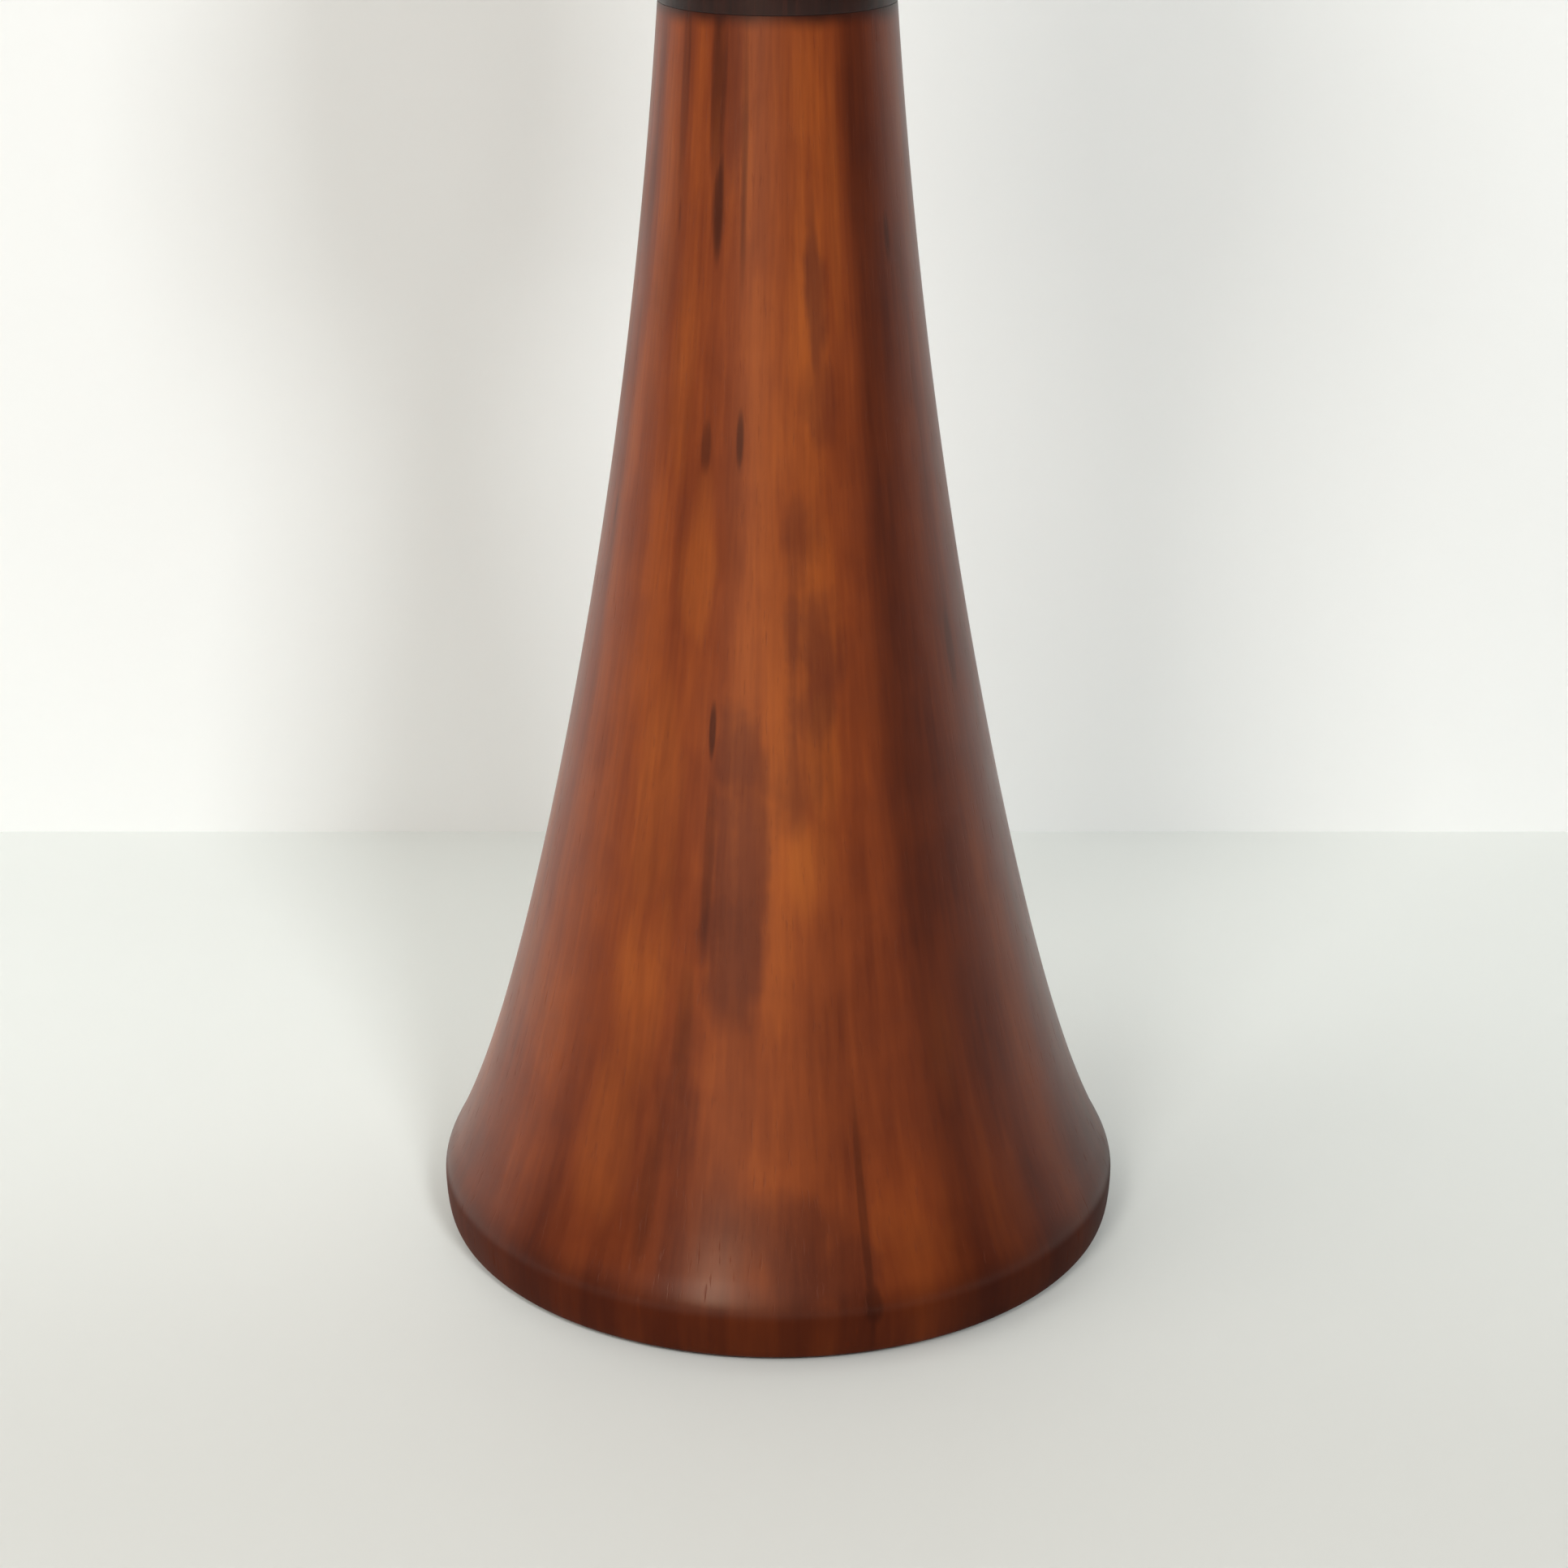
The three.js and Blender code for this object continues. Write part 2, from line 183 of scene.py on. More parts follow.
def area_light(name, azimuth, elevation, distance, size, power, colour, diffuse=True, glossy=True):
    """A soft light that faces the stand, azimuth in degrees to the right of the viewer's side. Where glossy
    is false it doesn't show as a reflection; where diffuse is false it shows as nothing else."""
    light = bpy.data.lights.new(name, "AREA")
    light.shape = "RECTANGLE"
    light.size, light.size_y = size
    light.energy = power
    light.color = colour
    thing = bpy.data.objects.new(name, light)
    a, e = math.radians(azimuth), math.radians(elevation)
    away = Vector((math.sin(a) * math.cos(e), -math.cos(a) * math.cos(e), math.sin(e)))
    thing.location = LIGHTS_FACE + away * distance
    thing.rotation_euler = away.to_track_quat("Z", "Y").to_euler()
    thing.visible_diffuse = diffuse
    thing.visible_glossy = glossy
    bpy.context.scene.collection.objects.link(thing)


def make_lights():
    """Two lamps cast the two soft shadows on the wall, and a window and the room fill them. The glow and
    the glint show only as reflections in the finish."""
    area_light("left_window", -72, 32, 1.2, (0.8, 0.8), 5.0, (1.0, 0.98, 0.94), glossy=False)
    area_light("right_lamp", 24, 33, 0.9, (0.17, 0.17), 3.7, (0.97, 1.0, 1.02), glossy=False)
    area_light("left_lamp", -26, 34, 0.9, (0.22, 0.22), 2.4, (1.0, 0.98, 0.95))
    area_light("room_fill", -9, 8, 1.1, (1.0, 0.3), 1.0, (0.98, 1.0, 0.98), glossy=False)
    area_light("room_glow", -12, 24, 1.1, (0.4, 0.7), 1.2, (1.0, 0.62, 0.34), diffuse=False)
    area_light("glint", -20.5, 17, 0.9, (0.08, 0.06), 1.9, (1.0, 0.66, 0.46), diffuse=False)


# ------------------------------------------------------------------ node helpers

class Nodes:
    """Short ways to add and join the nodes of one material."""

    def __init__(self, material):
        material.use_nodes = True
        self.tree = material.node_tree
        self.tree.nodes.clear()
        self.output = self.tree.nodes.new("ShaderNodeOutputMaterial")

    def add(self, kind, inputs=None, **settings):
        node = self.tree.nodes.new("ShaderNode" + kind)
        for key, value in settings.items():
            setattr(node, key, value)
        for key, value in (inputs or {}).items():
            self.set(node.inputs[key], value)
        return node

    def set(self, socket, value):
        if isinstance(value, bpy.types.NodeSocket):
            self.tree.links.new(value, socket)
        else:
            socket.default_value = value

    def math(self, operation, a, b=0.0, c=0.0):
        return self.add("Math", {0: a, 1: b, 2: c}, operation=operation).outputs[0]

    def radius(self, x, y):
        squares = self.math("ADD", self.math("MULTIPLY", x, x), self.math("MULTIPLY", y, y))
        return self.math("SQRT", squares)

    def between(self, value, low, high, to_low=0.0, to_high=1.0, smooth=True):
        """value, eased from to_low at low to to_high at high."""
        node = self.add("MapRange", interpolation_type="SMOOTHSTEP" if smooth else "LINEAR")
        for key, number in zip(range(5), (value, low, high, to_low, to_high)):
            self.set(node.inputs[key], number)
        return node.outputs[0]

    def noise(self, where, scale, detail=3.0, rough=0.55, distortion=0.0):
        node = self.add("TexNoise", {"Vector": where, "Scale": scale, "Detail": detail,
                                     "Roughness": rough, "Distortion": distortion})
        return node.outputs["Fac"]

    def mix(self, factor, a, b, blend="MIX"):
        """Mixes two colours, which are inputs 6 and 7 of a Mix node; its colour is output 2."""
        node = self.add("Mix", data_type="RGBA", blend_type=blend)
        for key, value in (("Factor", factor), (6, a), (7, b)):
            self.set(node.inputs[key], value)
        return node.outputs[2]

    def tint(self, factor, colour, tint):
        return self.mix(factor, colour, tint, "MULTIPLY")

    def ramp(self, factor, stops):
        node = self.add("ValToRGB", {"Fac": factor})
        elements = node.color_ramp.elements
        while len(elements) < len(stops):
            elements.new(0.5)
        for element, (place, colour) in zip(elements, stops):
            element.position = place
            element.color = colour
        return node.outputs["Color"]

    def place(self, scale=(1, 1, 1)):
        """Object coordinates in millimetres, scaled."""
        where = self.add("TexCoord").outputs["Object"]
        return self.add("Mapping", {"Vector": where, "Scale": tuple(s / MM for s in scale)}).outputs[0]

    def bump(self, height, strength, distance, normal=None):
        inputs = {"Height": height, "Strength": strength, "Distance": distance}
        if normal is not None:
            inputs["Normal"] = normal
        return self.add("Bump", inputs).outputs[0]

    def finish(self, **inputs):
        shader = self.add("BsdfPrincipled")
        for key, value in inputs.items():
            self.set(shader.inputs[key.replace("_", " ")], value)
        self.tree.links.new(shader.outputs[0], self.output.inputs[0])
        return shader


def srgb(red, green, blue):
    """A colour given as 0 to 255 screen values."""
    def linear(value):
        value /= 255
        return value / 12.92 if value <= 0.04045 else ((value + 0.055) / 1.055) ** 2.4
    return linear(red), linear(green), linear(blue), 1.0


# ------------------------------------------------------------------ cherry wood

# Marks that this stick of wood has, each (angle in degrees, height, half width, half height, strength),
# lengths in millimetres. Half width is measured round the surface.
DARK_STREAKS = [
    (-27.2, 117.0, 0.75, 10.0, 0.75),
    (-25.3, 107.0, 0.75, 5.0, 0.9),
    (-13.9, 112.0, 0.35, 13.0, 0.6),
    (-45.8, 117.0, 0.5, 10.0, 0.4),
    (-25.6, 85.2, 0.6, 2.5, 0.6),
    (-13.1, 86.2, 0.35, 2.6, 0.8),
    (-18.1, 59.0, 0.35, 2.6, 0.9),
    (50.7, 103.6, 0.4, 2.6, 0.6),
    (61.8, 63.7, 0.7, 3.5, 0.4),
    (-17.4, 46.0, 0.7, 8.0, 0.4),
    (-20.4, 31.0, 1.0, 9.0, 0.45),
    (-24.0, 16.0, 1.3, 8.0, 0.4),
    (15.2, 14.0, 0.45, 12.0, 0.5),
    (15.5, 5.6, 0.9, 1.8, 0.6),
]
PURPLE_PATCHES = [
    (14.9, 98.0, 1.1, 8.0, 1.0),
    (15.0, 90.0, 1.6, 5.0, 0.6),
    (8.0, 76.0, 2.2, 5.0, 0.6),
    (12.0, 68.0, 3.2, 6.0, 0.85),
    (8.5, 62.0, 2.5, 5.0, 0.7),
    (-10.0, 57.0, 3.0, 5.0, 0.9),
    (-9.0, 49.0, 3.8, 9.0, 0.8),
    (-11.5, 38.0, 3.0, 7.0, 0.9),
    (1.0, 55.0, 3.4, 6.0, 0.8),
    (-19.5, 25.0, 2.6, 9.0, 0.6),
    (3.0, 12.0, 5.5, 4.5, 0.7),
    (11.0, 9.5, 4.0, 3.0, 0.6),
    (-20.5, 116.0, 1.3, 9.0, 0.6),
]
AMBER_STREAKS = [
    (-25.0, 74.0, 1.8, 8.0, 1.0),
    (-32.2, 50.0, 2.6, 13.0, 0.9),
    (-31.5, 34.0, 3.0, 12.0, 0.9),
    (-35.0, 19.0, 3.0, 9.0, 0.8),
    (-52.0, 103.0, 1.6, 14.0, 0.6),
    (-37.0, 93.0, 1.5, 11.0, 0.5),
    (12.3, 56.0, 1.8, 6.0, 0.7),
    (8.5, 46.0, 2.6, 5.0, 0.6),
    (36.5, 28.0, 1.9, 6.0, 0.7),
    (24.0, 108.0, 0.7, 14.0, 0.6),
]

# Angles in degrees between which a stretch of the pedestal's colour comes in, and goes out again: a paler
# painted sheen down the front, where the room is reflected, and painted shade down the right side, away from
# the light.
PALE_SHEEN_START, PALE_SHEEN_END = (-19.0, -11.0), (6.0, 22.0)
RIGHT_SHADE_START, RIGHT_SHADE_END = (37.0, 45.0), (105.0, 130.0)
RIGHT_SHADE_WANDER = 16.0  # how far the grain pulls the edge of the painted shade about

# Heights in millimetres from which painted shade darkens the foot, where it turns under and away from the
# light, and at which it is darkest.
FOOT_SHADE_FADE = (19.0, 8.0)
RIM_SHADE_FADE = (9.8, 6.2)
UNDER_FADE = (FOOT_EDGE_HEIGHT / MM + 1.6, FOOT_EDGE_HEIGHT / MM)  # where the finish is worn matt as well

CHERRY_LIGHT = srgb(148, 72, 26)
CHERRY_MIDDLE = srgb(118, 52, 20)
CHERRY_DEEP = srgb(88, 34, 13)
# a dark stain below the collar, partly painted shade under the collar and the overhanging head
COLLAR_STAIN_AND_SHADE = srgb(40, 15, 9)

# What each kind of mark, and each painted sheen or shade, multiplies the wood's colour by, so that the grain
# shows through it.
AMBER_TINT = (1.35, 1.55, 1.3, 1)
# paler painted sheen down the front, where the room is reflected
PALE_SHEEN_TINT = (1.14, 1.22, 1.15, 1)
PURPLE_TINT = (0.60, 0.60, 0.95, 1)
DARK_TINT = (0.28, 0.26, 0.35, 1)
# painted shade down the right side, away from the light
RIGHT_SHADE_TINT = (0.56, 0.50, 0.50, 1)
# painted shade round the bottom of the foot, where it turns under and away from the light
FOOT_SHADE_TINT = (0.72, 0.68, 0.72, 1)
RIM_SHADE_TINT = (0.55, 0.50, 0.50, 1)

PITH = (-52.0, 60.0)  # the tree's centre, in millimetres from the stick's axis
YEAR = 3.6  # millimetres of growth in a year
YEAR_WANDER = 10.0  # millimetres that the rings wander by

WOOD_SMOOTH, WOOD_ROUGH = 0.30, 0.42
PORE_ROUGHNESS = 0.12  # what the pores add to the roughness
UNDER_ROUGHNESS = 0.25  # and what the worn edge of the foot adds
WOOD_SHINE, UNDER_SHINE = 0.26, 0.08
PORE_RELIEF = 0.04 * MM
TOOLING_RELIEF = 0.12 * MM  # the faint rings that turning leaves


class Grain:
    """Places in a stick of wood, in millimetres, and noise drawn out along it. flared squeezes the places in
    towards the axis as the radius grows, so that the figure fans out with the surface."""

    def __init__(self, n, flared, seed):
        self.n = n
        x, y, z = n.add("SeparateXYZ", {0: n.place()}).outputs
        if flared:
            squeeze = n.math("POWER", n.math("MULTIPLY", n.radius(x, y), MM / NECK_RADIUS), -flared)
            x = n.math("MULTIPLY", x, squeeze)
            y = n.math("MULTIPLY", y, squeeze)
        self.x, self.y, self.z = x, y, z
        self.place = n.add("CombineXYZ", {0: x, 1: y, 2: z}).outputs[0]
        self.seed = seed
        self.layers = 0

        self.wander = self.noise(0.05, 0.010, 2.0)
        self.broad = self.noise(0.22, 0.010, 2.0)
        self.streak = self.noise(0.75, 0.022, 3.0)
        self.fibre = self.noise(3.2, 0.12, 3.0)
        self.cloud = self.noise(0.085, 0.035, 3.0, distortion=0.5)
        self.mottle = self.noise(0.28, 0.14, 3.0, distortion=0.3)
        self.fleck = self.noise(0.8, 0.07, 1.0)
        self.pores = n.between(self.noise(6.0, 0.42, 2.0), 0.62, 0.74)

    def noise(self, across, along, detail, rough=0.5, distortion=0.0):
        """Noise with the given cycles per millimetre across and along the stick, in a place of its own."""
        self.layers += 1
        shift = tuple(17.3 * self.layers + k * self.seed for k in (31.0, 47.0, 13.0))
        inputs = {"Vector": self.place, "Scale": (across, across, along), "Location": shift}
        where = self.n.add("Mapping", inputs).outputs[0]
        return self.n.noise(where, 1.0, detail, rough, distortion)

    def rings(self):
        """The pith lies well outside the stick, so growth rings cross it as long, gently wavy bands."""
        n = self.n
        reach = n.radius(n.math("SUBTRACT", self.x, PITH[0]), n.math("SUBTRACT", self.y, PITH[1]))
        reach = n.math("MULTIPLY_ADD", self.wander, YEAR_WANDER, reach)
        years = n.math("MULTIPLY", reach, 2 * math.pi / YEAR)
        return n.math("MULTIPLY_ADD", n.math("SINE", years), 0.5, 0.5)

    def colour(self):
        """The wood's own colour, from all the layers together."""
        n = self.n
        weights = ((self.broad, 0.8), (self.streak, 0.42), (self.fibre, 0.26), (self.cloud, 0.5),
                   (self.mottle, 0.25), (self.rings(), 0.06))
        tone = 0.5
        for layer, weight in weights:
            tone = n.math("ADD", tone, n.math("MULTIPLY_ADD", layer, weight, -weight / 2))
        return n.ramp(tone, [(0.22, CHERRY_DEEP), (0.5, CHERRY_MIDDLE), (0.8, CHERRY_LIGHT)])


def surface_place(n):
    """Angle from the viewer's side in degrees, height and radius in millimetres."""
    x, y, z = n.add("SeparateXYZ", {0: n.place()}).outputs
    angle = n.math("DEGREES", n.math("ARCTAN2", x, n.math("MULTIPLY", y, -1.0)))
    return angle, z, n.radius(x, y)


def marks(n, spots, surface, jitter):
    """Strength of the strongest mark at each point. jitter makes the edges ragged."""
    angle, height, radius = surface
    strongest = 0.0
    for spot_angle, spot_height, half_wide, half_high, strength in spots:
        turn = n.math("SUBTRACT", angle, spot_angle)
        across = n.math("MULTIPLY", n.math("MULTIPLY", turn, radius), math.radians(1) / half_wide)
        along = n.math("MULTIPLY", n.math("SUBTRACT", height, spot_height), 1 / half_high)
        distance = n.math("ADD", n.math("MULTIPLY", across, across), n.math("MULTIPLY", along, along))
        here = n.between(n.math("ADD", distance, jitter), 1.5, 0.1, 0.0, strength)
        strongest = n.math("MAXIMUM", strongest, here)
    return strongest


def pedestal_marks_and_painted_light(n, grain, colour, purple, dark):
    """Adds what only the pedestal has, its own marks with its painted sheen and painted shade: returns its
    colour and its purple and dark marks.
    """
    surface = surface_place(n)
    angle = surface[0]
    ragged = n.math("MULTIPLY_ADD", grain.streak, 2.6, -1.3)
    jitter = n.math("ADD", ragged, n.math("MULTIPLY_ADD", grain.mottle, 2.4, -1.2))
    amber = marks(n, AMBER_STREAKS, surface, jitter)
    purple = n.math("MAXIMUM", purple, marks(n, PURPLE_PATCHES, surface, jitter))
    dark = n.math("MAXIMUM", dark, marks(n, DARK_STREAKS, surface, ragged))

    # a paler painted sheen down the front, facing the viewer, where the room is reflected
    pale = n.math("MULTIPLY", n.between(angle, *PALE_SHEEN_START), n.between(angle, *reversed(PALE_SHEEN_END)))
    # painted shade down the right side, away from the light, its edge pulled about by the grain
    pull = n.math("MULTIPLY_ADD", grain.streak, 0.4, grain.broad)
    wandering = n.math("MULTIPLY_ADD", pull, RIGHT_SHADE_WANDER, angle)
    right_shade = n.between(wandering, *RIGHT_SHADE_START)
    right_shade = n.math("MULTIPLY", right_shade, n.between(angle, *reversed(RIGHT_SHADE_END)))
    height = n.math("MULTIPLY_ADD", grain.cloud, 3.0, grain.z)

    colour = n.tint(amber, colour, AMBER_TINT)
    colour = n.tint(pale, colour, PALE_SHEEN_TINT)
    colour = n.tint(right_shade, colour, RIGHT_SHADE_TINT)
    # painted shade round the bottom of the foot, where it turns under and away from the light
    colour = n.tint(n.between(height, *FOOT_SHADE_FADE), colour, FOOT_SHADE_TINT)
    colour = n.tint(n.between(height, *RIM_SHADE_FADE), colour, RIM_SHADE_TINT)
    return colour, purple, dark


def cherry(name, flared=0.0, marks_and_painted_light=False, stain_and_shade_from=None, seed=0.0):
    """Aged cherry under worn shellac. flared, from 0 to 1, makes the figure follow a flaring outline.
    marks_and_painted_light adds the pedestal's own marks with its painted sheen and painted shade.
    stain_and_shade_from is the height at which the collar's dark staining and painted shade come in."""
    material = bpy.data.materials.new(name)
    n = Nodes(material)
    grain = Grain(n, flared, seed)

    colour = grain.colour()
    purple = n.between(n.math("MULTIPLY_ADD", grain.mottle, 0.5, grain.cloud), 0.85, 1.05, 0.0, 0.5)
    dark = n.between(grain.fleck, 0.76, 0.84, 0.0, 0.8)
    if marks_and_painted_light:
        colour, purple, dark = pedestal_marks_and_painted_light(n, grain, colour, purple, dark)
    colour = n.tint(purple, colour, PURPLE_TINT)
    colour = n.tint(dark, colour, DARK_TINT)
    colour = n.mix(n.math("MULTIPLY", grain.pores, 0.25), colour, CHERRY_DEEP)
    if stain_and_shade_from is not None:
        # a dark stain fading down below the collar, partly painted shade under the collar and the
        # overhanging head
        edge = n.math("MULTIPLY_ADD", grain.streak, 0.8, grain.z)
        edge = n.math("MULTIPLY_ADD", grain.broad, 1.6, edge)
        stain_and_shade = n.between(edge, stain_and_shade_from / MM - 0.4, stain_and_shade_from / MM + 1.6)
        colour = n.mix(stain_and_shade, colour, COLLAR_STAIN_AND_SHADE)

    handling = n.noise(n.place(scale=(0.05, 0.05, 0.035)), 1.0, 3.0, 0.6)
    roughness = n.between(handling, 0.3, 0.7, WOOD_SMOOTH, WOOD_ROUGH, smooth=False)
    roughness = n.math("MULTIPLY_ADD", grain.pores, PORE_ROUGHNESS, roughness)
    shine = WOOD_SHINE
    if marks_and_painted_light:
        under = n.between(grain.z, *UNDER_FADE)
        roughness = n.math("MULTIPLY_ADD", under, UNDER_ROUGHNESS, roughness)
        shine = n.between(under, 0.0, 1.0, WOOD_SHINE, UNDER_SHINE)

    relief = n.math("MULTIPLY_ADD", grain.pores, -0.7, n.math("MULTIPLY", grain.fibre, 0.35))
    tooling = n.noise(n.place(scale=(0.03, 0.03, 0.22)), 1.0, 2.0, 0.5)
    normal = n.bump(relief, 0.3, PORE_RELIEF)
    normal = n.bump(tooling, 0.25, TOOLING_RELIEF, normal)
    n.finish(Base_Color=colour, Roughness=roughness, Normal=normal, Specular_IOR_Level=shine)
    return material


# ------------------------------------------------------------------ the other materials

def black_wood():
    material = bpy.data.materials.new("black_wood")
    n = Nodes(material)
    fibre = n.noise(n.place(scale=(1.6, 1.6, 0.08)), 1.0, 4.0, 0.6)
    cloud = n.noise(n.place(scale=(0.15, 0.15, 0.08)), 1.0, 3.0)
    colour = n.ramp(fibre, [(0.3, srgb(26, 10, 6)), (0.55, srgb(40, 15, 9)), (0.75, srgb(58, 24, 13))])
    colour = n.mix(n.between(cloud, 0.45, 0.75, 0.0, 0.5), colour, srgb(24, 12, 9))
    rough = n.between(cloud, 0.3, 0.7, 0.28, 0.42, smooth=False)
    normal = n.bump(fibre, 0.3, PORE_RELIEF)
    n.finish(Base_Color=colour, Roughness=rough, Normal=normal, Specular_IOR_Level=0.3)
    return material


def metal(name, light, dark, smooth, rough, grain=(0.4, 0.4, 0.4), bump=0.1):
    """A metal whose colour goes from light to dark, and roughness from smooth to rough, in patches."""
    material = bpy.data.materials.new(name)
    n = Nodes(material)
    patch = n.noise(n.place(scale=(0.25, 0.25, 0.25)), 1.0, 4.0, 0.6)
    fine = n.noise(n.place(scale=grain), 1.0, 3.0, 0.6)
    worn = n.between(n.math("MULTIPLY_ADD", fine, 0.4, n.math("MULTIPLY", patch, 0.6)), 0.38, 0.62)
    colour = n.mix(worn, light, dark)
    roughness = n.between(worn, 0.0, 1.0, smooth, rough, smooth=False)
    n.finish(Base_Color=colour, Roughness=roughness, Metallic=1.0, Normal=n.bump(fine, bump, 0.05 * MM))
    return material


def baize():
    material = bpy.data.materials.new("baize")
    n = Nodes(material)
    fuzz = n.noise(n.place(scale=(2.2, 2.2, 2.2)), 1.0, 5.0, 0.7, 0.8)
    patch = n.noise(n.place(scale=(0.12, 0.12, 0.12)), 1.0, 3.0)
    shade = n.math("MULTIPLY_ADD", fuzz, 0.7, n.math("MULTIPLY", patch, 0.3))
    colour = n.ramp(shade, [(0.3, srgb(26, 48, 34)), (0.5, srgb(42, 72, 50)), (0.7, srgb(66, 96, 68))])
    n.finish(Base_Color=colour, Roughness=0.95, Normal=n.bump(fuzz, 0.8, 0.25 * MM),
             Sheen_Weight=0.4, Sheen_Roughness=0.5)
    return material


def plain_stage(name, colour, near_shade_colour=None, one_sided=False):
    """A matt painted surface, which may fade to near_shade_colour, a painted shade, towards the viewer.
    one_sided lets it be seen through from behind."""
    material = bpy.data.materials.new(name)
    n = Nodes(material)
    tint = n.noise(n.place(scale=(0.012, 0.012, 0.012)), 1.0, 3.0)
    darker = tuple(c * 0.975 for c in colour[:3]) + (1.0,)
    paint = n.mix(tint, colour, darker)
    if near_shade_colour:
        ahead = n.math("MULTIPLY", n.add("SeparateXYZ", {0: n.place()}).outputs[1], -1.0)
        paint = n.mix(n.between(ahead, *TABLE_SHADE_FADE), paint, near_shade_colour)
    shader = n.finish(Base_Color=paint, Roughness=0.6)
    if one_sided:
        clear = n.add("BsdfTransparent").outputs[0]
        behind = n.add("NewGeometry").outputs["Backfacing"]
        choose = n.add("MixShader", {0: behind, 1: shader.outputs[0], 2: clear})
        n.tree.links.new(choose.outputs[0], n.output.inputs[0])
    return material


# ------------------------------------------------------------------ turned shapes

def arc(middle, radii, start, end, steps):
    """Points on an ellipse in the outline plane, angles in degrees from the outward direction."""
    points = []
    for i in range(steps + 1):
        angle = math.radians(start + (end - start) * i / steps)
        points.append((middle[0] + radii[0] * math.cos(angle), middle[1] + radii[1] * math.sin(angle)))
    return points


def curve(start, lead, follow, end, steps):
    """Points on a cubic curve."""
    controls = (start, lead, follow, end)
    points = []
    for i in range(steps + 1):
        t = i / steps
        weights = ((1 - t) ** 3, 3 * t * (1 - t) ** 2, 3 * t * t * (1 - t), t ** 3)
        points.append(tuple(sum(w * p[k] for w, p in zip(weights, controls)) for k in (0, 1)))
    return points


def eased(corners, steps=5):
    """An outline of (radius, height, ease) corners, each cut back by ease along both sides and rounded."""
    outline = []
    count = len(corners)
    for i, corner in enumerate(corners):
        here = Vector(corner[:2])
        ease = corner[2] if len(corner) > 2 else 0.0
        if not ease:
            outline.append(tuple(here))
            continue
        before = Vector(corners[i - 1][:2]) - here
        after = Vector(corners[(i + 1) % count][:2]) - here
        start = here + before.normalized() * min(ease, before.length * 0.49)
        end = here + after.normalized() * min(ease, after.length * 0.49)
        for k in range(steps + 1):
            t = k / steps
            outline.append(tuple(start * (1 - t) ** 2 + here * 2 * t * (1 - t) + end * t * t))
    return outline


def lathe(name, outline, segments=128, at=(0.0, 0.0), start=0.0):
    """A closed body turned from (radius, height) points, the first corner at the start angle. An outline off
    the axis is closed into a ring."""
    bm = bmesh.new()
    rings = []
    for radius, height in outline:
        if radius < 1e-7:
            rings.append([bm.verts.new((at[0], at[1], height))])
            continue
        turns = [start + 2 * math.pi * i / segments for i in range(segments)]
        rings.append([bm.verts.new((at[0] + radius * math.cos(a), at[1] + radius * math.sin(a), height))
                      for a in turns])
    pairs = list(zip(rings, rings[1:]))
    if len(rings[0]) > 1 or len(rings[-1]) > 1:
        pairs.append((rings[-1], rings[0]))
    for low, high in pairs:
        for i in range(segments):
            j = (i + 1) % segments
            corners = [low[0]] if len(low) == 1 else [low[i], low[j]]
            corners += [high[0]] if len(high) == 1 else [high[j], high[i]]
            if len(corners) > 2:
                bm.faces.new(corners)
    bmesh.ops.recalc_face_normals(bm, faces=bm.faces)
    mesh = bpy.data.meshes.new(name)
    bm.to_mesh(mesh)
    bm.free()
    thing = bpy.data.objects.new(name, mesh)
    bpy.context.scene.collection.objects.link(thing)
    smooth(mesh)
    return thing


def smooth(mesh):
    for polygon in mesh.polygons:
        polygon.use_smooth = True
    mesh.set_sharp_from_angle(angle=math.radians(CREASE))


def subtract(thing, cutters):
    """Cuts the cutters out of thing and deletes them."""
    for cutter in cutters:
        modifier = thing.modifiers.new("cut", "BOOLEAN")
        modifier.operation = "DIFFERENCE"
        modifier.solver = "EXACT"
        modifier.object = cutter
    bpy.context.view_layer.update()
    graph = bpy.context.evaluated_depsgraph_get()
    mesh = bpy.data.meshes.new_from_object(thing.evaluated_get(graph))
    thing.modifiers.clear()
    thing.data = mesh
    for cutter in cutters:
        bpy.data.objects.remove(cutter)
    smooth(mesh)


def fit(piece, body, slot, material, *nodes):
    """Gives a new piece its material and its CAD body, and hides the nodes that it stands for. slot is not
    used.
    """
    piece.data.materials.clear()
    piece.data.materials.append(material)
    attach(piece, body)
    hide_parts(*nodes)


# ------------------------------------------------------------------ pedestal

def flank_radius(height):
    """Outer radius of the pedestal between the foot's edge and the neck."""
    def reach(z):
        kick = math.exp(-(z - FOOT_EDGE_HEIGHT) / FOOT_KICK_HEIGHT)
        return FLANK_LEAN * (z - z * z / (2 * FLANK_UPRIGHT)) - FOOT_KICK * FOOT_KICK_HEIGHT * kick
    return NECK_RADIUS + reach(NECK_HEIGHT) - reach(height)


